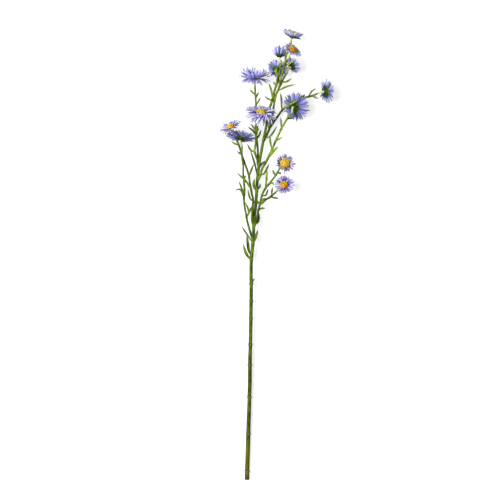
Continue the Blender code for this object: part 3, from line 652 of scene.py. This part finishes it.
# --- leaves, stalks and the stem ---
def blade(shape, route, width, roll, tone):
    """A lance-shaped leaf: folded along its midrib, which is a groove above and a keel below."""
    rib_depth, rib_half, keel = LEAF_MIDRIB
    count = len(route) - 1
    rings = []
    for k, (place, forward) in enumerate(zip(route, directions(route))):
        along = k / count
        across = forward.cross(UP).normalized()
        across.rotate(Quaternion(forward, roll * along))
        normal = across.cross(forward)
        outline = ramp(LEAF_OUTLINE, along)
        half = width / 2 * outline
        opened = min(1.0, along / LEAF_PETIOLE)
        ring = []
        for face, order in ((1, BLADE_STATIONS), (-1, BLADE_STATIONS[-2:0:-1])):
            for u in order:
                body = LEAF_THICK / 2 * outline ** 0.5 * (1 - u * u) ** 0.5
                fold = LEAF_FOLD * half * abs(u) ** 1.3 * opened
                groove = rib_depth * LEAF_THICK * hump(u, rib_half) * opened * (1 if face > 0 else keel)
                # A blade is painted darker at its base, as shade where it springs from the stalk.
                ring.append(shape.point(
                    place + across * u * half + normal * (face * body + fold - groove * (1 - along)),
                    along=along, across=u, under=float(face < 0), tone=tone,
                    pale=0.35 * abs(u) ** 3 * opened + 0.25 * hump(u, 0.12) * opened,
                    dark=0.35 * hump(along, 0.12),
                ))
        rings.append(ring)
    shape.loft(rings)


def add_leaves(shape, leaves, carriers, chance):
    """The leaves of a piece, each starting inside the stalk nearest to it. Returns where they start."""
    usual, painted_light_by_rise, spread = LEAF_TONE
    bases = []
    for leaf in leaves:
        base = min(
            (nearest(route, (*leaf.route[0], 0), plan_only=True) for route in carriers),
            key=lambda p: (p.xy - Vector(leaf.route[0])).length,
        )
        last = len(leaf.route) - 1
        places = [base]
        for i, (x, y, *lift) in enumerate(leaf.route[1:], 1):
            places.append(Vector((x, y, base.z + (lift[0] if lift else leaf.lift * i / last))))
        length = sum((b - a).length for a, b in zip(places, places[1:]))
        route = smooth_route(places, length / LEAF_STATIONS)
        roll = radians(chance.uniform(-LEAF_ROLL, LEAF_ROLL))
        # A leaf that dips under the others is painted darker, as if in their shade; one that stands up,
        # lighter.
        # Some leaves get painted light besides, against the shade they lie in.
        tone = usual + painted_light_by_rise * leaf.lift + chance.uniform(-spread, spread) + leaf.bright
        blade(shape, route, leaf.width, roll, min(1.0, max(0.0, tone)))
        bases.append(base)
    return bases


def by_leaves(place, bases, most, half):
    """An amount that is greatest where a leaf springs from its stalk, and fades away from it."""
    return most * max((hump((place - base).length, half) for base in bases), default=0.0)


def stem_radius(height):
    """The radius of the main stem, with its ring joints."""
    crest, crest_half = RING_CREST
    groove, groove_half, above = RING_GROOVE
    radius = ramp(STEM_RADII, height)
    for ring in STEM_RINGS:
        radius += crest * hump(height - ring, crest_half)
        radius -= groove * hump(height - ring - above, groove_half)
    return radius


def stem_line():
    """The main stem's centreline, closer where it has a ring joint."""
    coarse = smooth_route(STEM_ROUTE, STEM_STEP)
    spacing, reach = RING_SECTIONS
    heights = sorted(
        {round(p.y, 2) for p in coarse if all(abs(p.y - ring) > RING_CLEAR for ring in STEM_RINGS)}
        | {ring + spacing * i for ring in STEM_RINGS for i in range(-reach, reach + 1)}
    )
    xs, zs = [(p.y, p.x) for p in coarse], [(p.y, p.z) for p in coarse]
    return [Vector((ramp(xs, y), y, ramp(zs, y))) for y in heights]


def make_stem(material):
    """The jointed stem, darker above each ring and at its cut end, with painted highlights on the rings'
    ridges.
    """
    shape, chance = Shape(), random.Random("main stem")
    route = stem_line()
    bases = add_leaves(shape, LEAVES["main_stem"], [route], chance)
    radii = [stem_radius(p.y) + by_leaves(p, bases, *NODE_SWELL) for p in route]
    dark, pale = [], []
    for p in route:
        ring_dark = sum(0.55 * hump(p.y - ring - 1.4, 1.0) for ring in STEM_RINGS) + 0.5 * hump(p.y, 4)
        dark.append(min(0.7, ring_dark))
        # A highlight is painted pale on the ridge of each ring.
        pale.append(min(0.5, sum(0.3 * hump(p.y - ring, 0.9) for ring in STEM_RINGS)))
    tube(shape, route, radii, STEM_SIDES, tone=[0.5] * len(route), dark=dark, pale=pale)
    make_piece("jointed_stem", shape, material, "main_stem")
    return route


def make_sprig(name, stem, material):
    """One moulded sprig. Returns where each of its stalks ends and in which direction."""
    shape, chance = Shape(), random.Random(name)
    stalks = STALKS[name]
    routes, ends = [], {}
    for i, stalk in enumerate(stalks):
        points = [Vector(p) for p in stalk.route]
        if i == 0 and points[0].y < stem[-1].y:
            # The foot runs on into the stem, as its peg does.
            back = points[0] - (points[1] - points[0]).normalized() * FOOT_REACH
            points.insert(0, nearest(stem, back))
        elif i == 0:
            points[0] = points[0] * (1 + PEG_SHARE) - points[1] * PEG_SHARE
        routes.append(smooth_route(points, STALK_STEP))
    bases = add_leaves(shape, LEAVES[name], routes, chance)
    for i, (stalk, route) in enumerate(zip(stalks, routes)):
        count = len(route) - 1
        radii = [
            stalk.base + (stalk.tip - stalk.base) * k / count + by_leaves(p, bases, *NODE_SWELL)
            for k, p in enumerate(route)
        ]
        # Shade is painted round the foot of each leaf, where it springs from the stalk.
        dark = [by_leaves(p, bases, *AXIL_SHADE) for p in route]
        tube(shape, route, radii, STALK_SIDES, tone=[chance.uniform(0.2, 0.85)] * (count + 1), dark=dark)
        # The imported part's coarser route gives the end's direction, so that the tube meets it squarely.
        coarse = smooth_route(stalk.route, SPRIG_STEP)
        ends[name, i] = (route[-1], (coarse[-1] - coarse[-2]).normalized())
    make_piece(name + "_moulding", shape, material, name)
    return ends


# --- blooms ---
def bloom_frame(bloom):
    """The bloom's own axes: Z out of its face, and the origin at the top of the hub."""
    turn = Vector(bloom.facing).normalized().to_track_quat("Z", "Y")
    return Matrix.Translation(Vector(bloom.centre)) @ turn.to_matrix().to_4x4()


def rearward(place):
    """The bearing, in a bloom's own axes, of the spray's tip, which is behind its dome."""
    tip = place.to_3x3().inverted() @ TIPWARD
    return atan2(tip.y, tip.x)


def nearness(bearing, behind):
    """0 behind a bloom's dome, and 1 in front of it, towards the foot of the spray."""
    return (1 - cos(bearing - behind)) / 2


def petal_width(along):
    """Half width of a petal, as a share of its widest: narrow at the root, with an ogive tip."""
    if along < PETAL_WIDEST:
        return 0.36 + 0.64 * sin(pi / 2 * along / PETAL_WIDEST)
    return max(0.1, (1 - ((along - PETAL_WIDEST) / 0.405) ** 2) ** 0.7)


def petal(shape, place, bloom, length, width, low, high, heading, bend, twist, lift, chance, **values):
    """One petal of a cut layer. Returns the points across its root, on its upper face and its lower one."""
    pleat_depth, pleat_place, pleat_half = PETAL_PLEAT
    root, rim = bloom.disc * HUB_SHARE * PETAL_ROOT, bloom.disc * PETAL_RIM
    position = polar(root, heading, lift)
    count = PETAL_STATIONS
    rows = []
    for k in range(count + 2):
        # The first stretch lies flat under the dome, and the petal bends up or down beyond the dome's rim.
        along = max(0.0, (k - 1) / count)
        slope = 0.0 if k < 2 else low * 0.5 if k == 2 else low + (high - low) * along
        forward = polar(cos(slope), heading, sin(slope))
        if k:
            position = position + forward * ((rim - root) if k == 1 else length / count)
        across = Vector((-sin(heading), cos(heading), 0))
        across.rotate(Quaternion(forward, twist * along))
        normal = forward.cross(across)
        half = width / 2 * petal_width(along) * chance.uniform(*CHANCE["edge"]) * (0.5 if k == 0 else 1.0)
        shaped = min(1.0, along * 3)  # the root is flat, and the cup and the pleats begin beyond it
        upper, lower = [], []
        for u in PETAL_ACROSS:
            cup = PETAL_CUP * half * u * u * shaped
            pleat = -pleat_depth * hump(abs(u) - pleat_place, pleat_half) * shaped
            base = position + across * u * half + normal * (cup + pleat)
            thin = PETAL_THICK / 2 * (PETAL_EDGE if abs(u) == 1 or k == count + 1 else 1.0)
            here = dict(values, along=along, across=u)
            upper.append(shape.point(place @ (base + normal * thin), **here))
            lower.append(shape.point(place @ (base - normal * thin), under=1.0, **here))
        rows.append((upper, lower))
        if k > 1:
            heading += bend / count
    shape.loft([upper + lower[::-1] for upper, lower in rows], capped=False)
    shape.faces.append(tuple(rows[-1][0] + rows[-1][1][::-1]))
    return rows[0]


def petal_layer(shape, place, bloom, look, chance, crowd, share, steeper, lift, turn, tone):
    """One layer cut from cloth: a flat hub with petals round its rim, each with its own droop and curl."""
    def moved(thing):
        return chance.uniform(*CHANCE[thing])

    stub_length, stub_rise = STUB
    lighter, from_bleach = BLEACH_LIGHT
    count = round(bloom.rays * crowd * look.crowd)
    behind = rearward(place)
    width = PETAL_WIDTH * look.width
    free = bloom.length * share - bloom.disc * (PETAL_RIM - HUB_SHARE)
    roots = []
    for k in range(count):
        bearing = radians(bloom.turn) + turn + tau * (k + moved("spacing")) / count
        # Towards the foot of the spray the petals droop, and the more so the further round they stand.
        near = nearness(bearing, behind)
        hang = bloom.sag * near ** 1.5 * (1 - INNER_HOLD * steeper)
        rise = bloom.inner * steeper + look.lifted * (1 - near) ** 2 + moved("rise")
        reach = chance.uniform(look.shortest, PETAL_LONGEST) * (1 - look.tucked * (1 - near) ** 4)
        reach *= 1 + (look.spread - 1) * 4 * near * (1 - near)
        reach *= 1 + (look.hanging - 1) * near ** 3
        if chance.random() < look.stubby * near ** 2:
            reach, rise = reach * stub_length, rise + stub_rise
        low = radians(bloom.low + rise - hang * ROOT_HANG)
        high = radians(bloom.high + rise - hang + moved("droop"))
        pale = look.pale * chance.choice(BLEACHING)
        roots.append(petal(
            shape, place, bloom, free * reach, width * moved("width"), low, high, bearing,
            radians(moved("bend")), radians(moved("twist")), lift, chance,
            tone=tone + look.tone + moved("tone") + lighter * (pale - from_bleach),
            pale=min(0.9, pale), dark=look.plum,
        ))
    top = shape.point(place @ Vector((0, 0, lift + PETAL_THICK / 2)))
    bottom = shape.point(place @ Vector((0, 0, lift - PETAL_THICK / 2)), under=1.0)
    for (upper, lower), (next_upper, next_lower) in zip(roots, roots[1:] + roots[:1]):
        for centre, row, following in ((top, upper, next_upper), (bottom, lower, next_lower)):
            for a, b in zip(row, row[1:] + following[:1]):
                shape.faces.append((centre, a, b))
        shape.faces.append((upper[-1], next_upper[0], next_lower[0], lower[-1]))


def make_petals(name, number, bloom, look, place, material):
    """The cut layers of a bloom, one above another."""
    shape, chance = Shape(), random.Random(f"petals {number}")
    for layer in LAYERS:
        petal_layer(shape, place, bloom, look, chance, *layer)
    make_piece(name + "_petals", shape, material, name + "_rays")


def turned(shape, place, base, axes, profile, sides, tone):
    """A turned solid. profile gives the height, radius and place along it of each cross-section."""
    side, other, up = axes
    shape.loft([
        [
            shape.point(place @ p, along=along, tone=tone)
            for p in circle(base + up * height, side, other, radius, sides)
        ]
        for height, radius, along in profile
    ])


def make_disc(name, number, bloom, look, place, material):
    """The dome and its florets, set in the two-way spiral of a daisy's head."""
    shape, chance = Shape(), random.Random(f"disc {number}")
    rim = bloom.disc * look.dome
    rise = rim * DOME_RISE * look.crown
    spray = place.to_3x3().inverted() @ SHADED_SIDE
    core, core_rise = rim * DOME_CORE, rise * DOME_CORE
    profile = [
        (DOME_FOOT + core_rise * sin(a), core * cos(a), DOME_SHADE) for a in map(radians, DOME_SLOPES)
    ]
    # The core closes a little below its foot.
    profile += [(DOME_FOOT - 0.1, core * 0.97, DOME_SHADE), (DOME_FOOT - 0.05, core * 0.5, DOME_SHADE)]
    turned(shape, place, Vector(), (RIGHT, TIPWARD, UP), profile, DOME_SIDES, look.orange)
    count = round(KNOBS * rim * rim)
    for k in range(count):
        share = sqrt((k + 0.5) / count)
        bearing = GOLDEN_ANGLE * k
        lean = acos(1 - KNOB_SPAN * share * share)
        out = polar(1, bearing)
        base = out * core * sin(lean) + UP * (DOME_FOOT + core_rise * cos(lean))
        normal = (out * sin(lean) * rise + UP * cos(lean) * rim).normalized()
        size = 0.55 + 0.08 * share + chance.uniform(-0.08, 0.08)
        # The rim is riper than the crown, and the side away from the light is painted most orange, as painted
        # shade.
        tone = look.orange + 0.3 * (share - 0.55) + 0.6 * share * out.dot(spray) + chance.uniform(-0.3, 0.3)
        height = size * chance.uniform(1.0, 1.6)
        side = normal.orthogonal().normalized()
        knob = [(low * height, share * size, along) for low, share, along in KNOB_PROFILE]
        axes = (side, normal.cross(side), normal)
        turned(shape, place, base, axes, knob, KNOB_SIDES, min(1.0, max(0.0, tone)))
    make_piece(name + "_florets", shape, material, name + "_disc")


def sepal_cup(shape, place, bloom, reach, top, depth, phase, thick, chance):
    """A thin cup that opens into rounded lobes, each with a raised midrib."""
    hub = bloom.disc * HUB_SHARE
    behind = rearward(place)
    sides = SEPALS * SEPAL_STEPS
    lengths = [chance.uniform(0.92, 1.04) for _ in range(SEPALS)]
    curls = [chance.uniform(-0.5, 0.25) for _ in range(SEPALS)]

    def point(face, share, i):
        turn = i / sides * SEPALS
        lobe = int(turn) % SEPALS
        wave = abs(sin(pi * turn)) ** 0.55  # 1 in the middle of a lobe, 0 between two
        outline = 1 - 0.34 * (1 - wave) * share ** 2
        full = TUBE_FLARE + (reach * lengths[lobe] - TUBE_FLARE) * share * outline
        drop = (1 - share) ** 1.7 * depth
        rib = 0.28 * hump(turn % 1 - 0.5, 0.14) * sin(pi * share)
        crease = 0.3 * hump(min(turn % 1, 1 - turn % 1), 0.1) * share
        curl = curls[lobe] * share ** 3 * wave
        angle = phase + tau * i / sides
        # A sepal follows the petals above it, as they rise and droop.
        hang = bloom.sag * nearness(angle, behind) ** 1.5
        tilt = radians(bloom.low - max(0.0, hang) * 0.35 + 0.2 * (bloom.high - bloom.low))
        height = top + max(0.0, reach - hub) * (tan(tilt) - 0.1) * share ** 2 - drop + curl
        if face < 0:
            height -= thick * (1 - 0.5 * share) + rib - crease
        # Painted light along the middle of each lobe, and painted shade in the creases between lobes and
        # towards the cup's foot.
        return shape.point(
            place @ polar(full, angle, height), along=share, tone=0.35 + 0.4 * wave * share,
            pale=0.5 * hump(1 - share, 0.12) * wave, dark=0.55 * (1 - wave) * share + 0.25 * (1 - share),
        )

    shape.loft([
        [point(face, share, i) for i in range(sides)]
        for face in (-1, 1) for share in SEPAL_STATIONS[::-face]
    ])


def make_calyx(name, number, bloom, look, place, material):
    """Two cups of sepals, the lower one smaller and turned by half a lobe."""
    shape, chance = Shape(), random.Random(f"calyx {number}")
    for share, *cup in ((look.sepals, *UPPER_CUP), LOWER_CUP):
        sepal_cup(shape, place, bloom, bloom.calyx * share, *cup, chance)
    make_piece(name + "_sepals", shape, material, name + "_calyx")


def make_tube(name, bloom, look, end, material):
    """The tube from a stalk to its bloom: a lip at the foot, a slight waist, and a flare under the sepals."""
    stalk_end, along = end
    facing = Vector(bloom.facing).normalized()
    lip_height, lip_half = TUBE_LIP
    start = stalk_end + along * GAP
    top = Vector(bloom.centre) + facing * TUBE_TOP
    inner = [start + along * TUBE_STRAIGHT, top - facing * TUBE_STRAIGHT]
    bow = (inner[1] - inner[0]).length * TUBE_BOW
    middle = (inner[0] + along * bow + inner[1] - facing * bow) / 2
    route = smooth_route([start, inner[0], middle, inner[1], top], TUBE_STEP)
    count = len(route) - 1
    radii = []
    for k, p in enumerate(route):
        lip = lip_height * hump((p - start).length, lip_half)
        radii.append((TUBE_WAIST + lip + (TUBE_FLARE - TUBE_WAIST) * (k / count) ** 4) * look.tube)
    shape = Shape()
    tube(shape, route, radii, TUBE_SIDES)
    make_piece(name + "_tube", shape, material, name + "_neck")


# --- the setting ---
def white_for_viewers(node, brightness):
    """A brightness that only the camera, glossy and see-through rays find, so that it lights nothing else."""
    camera, glossy, through = (
        node("LightPath", out=name) for name in ("Is Camera Ray", "Is Glossy Ray", "Is Transmission Ray")
    )
    seen = node("Math", {0: camera, 1: glossy}, operation="MAXIMUM")
    seen = node("Math", {0: seen, 1: through}, operation="MAXIMUM")
    return node("Math", {0: seen, 1: brightness}, operation="MULTIPLY")


def make_floor():
    """A matt white table top, a little brighter to the eye than to the object that lies on it."""
    mesh = bpy.data.meshes.new("floor")
    corners = [(x * FLOOR_SIZE, y * FLOOR_SIZE, 0) for x, y in ((-1, -1), (1, -1), (1, 1), (-1, 1))]
    mesh.from_pydata(corners, [], [(0, 1, 2, 3)])
    floor = put("floor", mesh)
    floor.location.z = CAD_BOX[0].z - FLOOR_DROP
    material, node, _, _ = new_material(
        "matt_white_board", (), Base_Color=linear("c8c8c8"), Emission_Color=(1, 1, 1, 1), Roughness=0.9,
        Specular_IOR_Level=0.1,
    )
    tree = material.node_tree
    tree.links.new(white_for_viewers(node, FLOOR_GLOW), tree.nodes[SHADER].inputs["Emission Strength"])
    mesh.materials.append(material)


def make_light():
    """A broad soft key from the upper left, and an even fill from all round."""
    world = bpy.data.worlds.new("soft_box")
    bpy.context.scene.world = world
    world.use_nodes = True
    tree = world.node_tree
    background = tree.nodes["Background"]
    background.inputs["Color"].default_value = (1, 1, 1, 1)
    node = partial(add, tree)
    extra = white_for_viewers(node, 1.0 - FILL)
    strength = node("Math", {0: extra, 1: FILL}, operation="ADD")
    tree.links.new(strength, background.inputs["Strength"])
    key = bpy.data.lights.new("key", "SUN")
    key.energy = KEY
    key.angle = radians(KEY_SPREAD)
    lamp = put("key", key)
    lamp.rotation_mode = "QUATERNION"
    lamp.rotation_quaternion = Vector(KEY_FROM).to_track_quat("Z", "Y")


def make_camera():
    """A long lens looking straight down, with the tip of the spray at the top of the frame."""
    data = bpy.data.cameras.new("camera")
    data.sensor_width = SENSOR
    data.lens = SENSOR * CAMERA_HEIGHT / VIEW_WIDTH
    data.clip_end = CAMERA_REACH
    camera = put("camera", data)
    low, high = CAD_BOX
    camera.location = (
        (low.x + high.x) / 2 + VIEW_OFFSET[0] * MM, (low.y + high.y) / 2 + VIEW_OFFSET[1] * MM,
        high.z + CAMERA_HEIGHT,
    )
    bpy.context.scene.camera = camera


# --- the spray ---
def main():
    stem_green = moulded_green("moulded_stem_green", "5c5c10", "4d6314", "5c7a1f", -0.34, 0.12)
    sprig_green = moulded_green("moulded_sprig_green", "48650f", "647c1d", "798b2a", 0.0, 0.3)
    sepal_green = moulded_green("moulded_sepal_green", "1b2a0e", "273b14", "354f1b", 0.0, 0.3)
    cloth, tube_plastic, knobs = pressed_petal_cloth(), pale_tube_plastic(), floret_plastic()
    stem = make_stem(stem_green)
    ends = {}
    for name in STALKS:
        ends.update(make_sprig(name, stem, sprig_green))
    for number, (bloom, look) in enumerate(zip(BLOOMS, LOOKS), 1):
        name, place = f"bloom_{number:02d}", bloom_frame(bloom)
        make_petals(name, number, bloom, look, place, cloth)
        make_disc(name, number, bloom, look, place, knobs)
        make_calyx(name, number, bloom, look, place, sepal_green)
        make_tube(name, bloom, look, ends[bloom.stalk], tube_plastic)
    make_floor()
    make_light()
    make_camera()
    bpy.context.scene.view_settings.view_transform = "Standard"


main()
